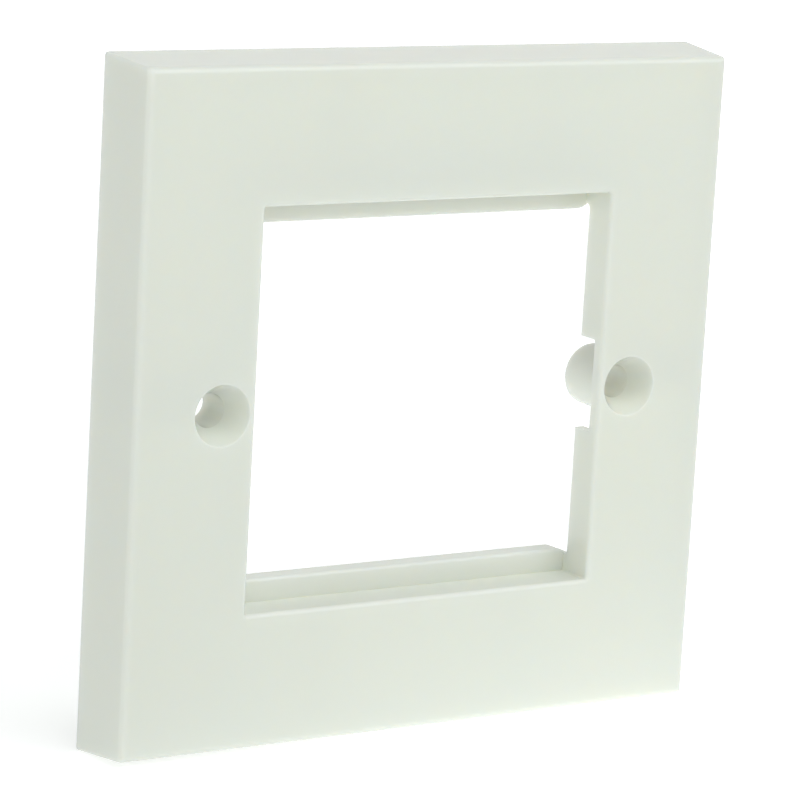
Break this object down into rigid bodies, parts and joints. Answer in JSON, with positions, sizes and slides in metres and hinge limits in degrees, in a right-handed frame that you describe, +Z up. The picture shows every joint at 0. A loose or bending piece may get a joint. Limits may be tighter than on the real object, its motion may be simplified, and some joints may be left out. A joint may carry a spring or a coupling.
{
  "type": "modular wall faceplate",
  "caption": "Square wall faceplate with a square opening for snap-in socket modules, clip rails and countersunk screw holes.",
  "frame": {"origin": "centre of the plate on the plane of its rear rim, which is the wall's surface, midway between the two wall screws", "axes": "+X to the right seen from the front, +Y back into the wall, +Z up; the face looks towards -Y"},
  "size_m": [0.086, 0.0096, 0.086],
  "materials": {
    "plastic": "off-white moulded plastic with a soft gloss"
  },
  "bodies": {
    "root": {"faceplate": "plastic"}
  },
  "joints": []
}
